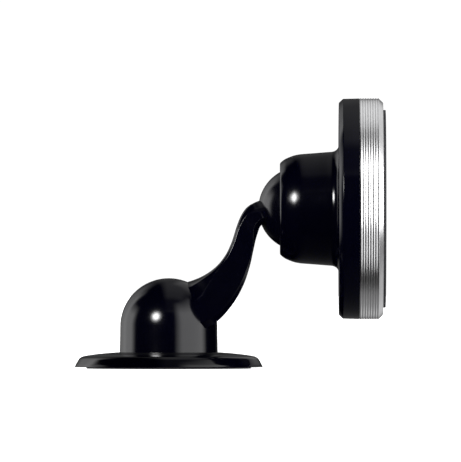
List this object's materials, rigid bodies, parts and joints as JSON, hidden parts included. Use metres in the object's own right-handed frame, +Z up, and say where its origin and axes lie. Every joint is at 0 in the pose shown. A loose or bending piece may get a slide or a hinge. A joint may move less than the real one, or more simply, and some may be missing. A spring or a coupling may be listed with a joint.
{
  "type": "car phone mount",
  "caption": "Magnetic car phone mount: round adhesive base, swivelling dome with a curved neck, ball joint and a flat round head with a grooved metal ring.",
  "frame": {"origin": "centre of the adhesive pad's underside, where it meets the dashboard", "axes": "+Z up, away from the dashboard; +X toward the magnetic face that takes the phone; Y across"},
  "size_m": [0.063, 0.0448, 0.0547],
  "materials": {
    "adhesive_pad": "matt black acrylic foam adhesive",
    "base_plate": "polished black, faint moulding texture",
    "pocket_cover": "plain pale film disc",
    "glide_ring": "natural white acetal",
    "arm_body": "polished black",
    "swivel_insert": "turned brass, grooved outside",
    "swivel_screw": "zinc plated steel",
    "swivel_washer": "zinc plated steel",
    "swivel_spring": "spring steel",
    "ball": "polished very dark grey",
    "ball_screw": "zinc plated steel",
    "friction_liner": "matt grey friction plastic",
    "socket_ring": "natural white acetal",
    "pressure_cup": "natural white acetal",
    "disc_spring": "spring steel",
    "rear_shell": "polished black",
    "trim_ring": "turned and grooved, bright",
    "yoke_plate": "plated mild steel",
    "magnet_carrier": "matt black",
    "magnet": "nickel plated magnet",
    "carrier_screw": "blackened steel",
    "front_plate": "matt black",
    "face_pad": "fine-textured matt black"
  },
  "bodies": {
    "base": {"adhesive_pad": "adhesive_pad", "base_plate": "base_plate", "pocket_cover": "pocket_cover", "glide_ring": "glide_ring"},
    "arm": {"arm_body": "arm_body", "swivel_insert": "swivel_insert", "swivel_screw": "swivel_screw", "swivel_washer": "swivel_washer", "swivel_spring": "swivel_spring", "ball": "ball", "ball_screw": "ball_screw"},
    "friction_liner": {"friction_liner": "friction_liner"},
    "socket": {"socket_ring": "socket_ring", "pressure_cup": "pressure_cup", "disc_spring": "disc_spring"},
    "head": {"rear_shell": "rear_shell", "trim_ring": "trim_ring", "yoke_plate": "yoke_plate", "magnet_carrier": "magnet_carrier", "magnet_1": "magnet", "magnet_2": "magnet", "magnet_3": "magnet", "magnet_4": "magnet", "magnet_5": "magnet", "magnet_6": "magnet", "carrier_screw_1": "carrier_screw", "carrier_screw_2": "carrier_screw", "carrier_screw_3": "carrier_screw", "front_plate": "front_plate", "face_pad": "face_pad"}
  },
  "joints": [
    {"name": "base_swivel", "type": "hinge", "parent": "base", "child": "arm", "pos_m": [0, 0, 0.003], "axis": [0, 0, 1], "continuous": true},
    {"name": "head_tilt", "type": "hinge", "parent": "arm", "child": "friction_liner", "pos_m": [0.02661, 0, 0.03231], "axis": [0, 1, 0], "range_deg": [-30, 20]},
    {"name": "head_pan", "type": "hinge", "parent": "friction_liner", "child": "socket", "pos_m": [0.02661, 0, 0.03231], "axis": [0, 0, 1], "range_deg": [-12, 12]},
    {"name": "head_spin", "type": "hinge", "parent": "socket", "child": "head", "pos_m": [0.02661, 0, 0.03231], "axis": [1, 0, 0], "continuous": true}
  ]
}
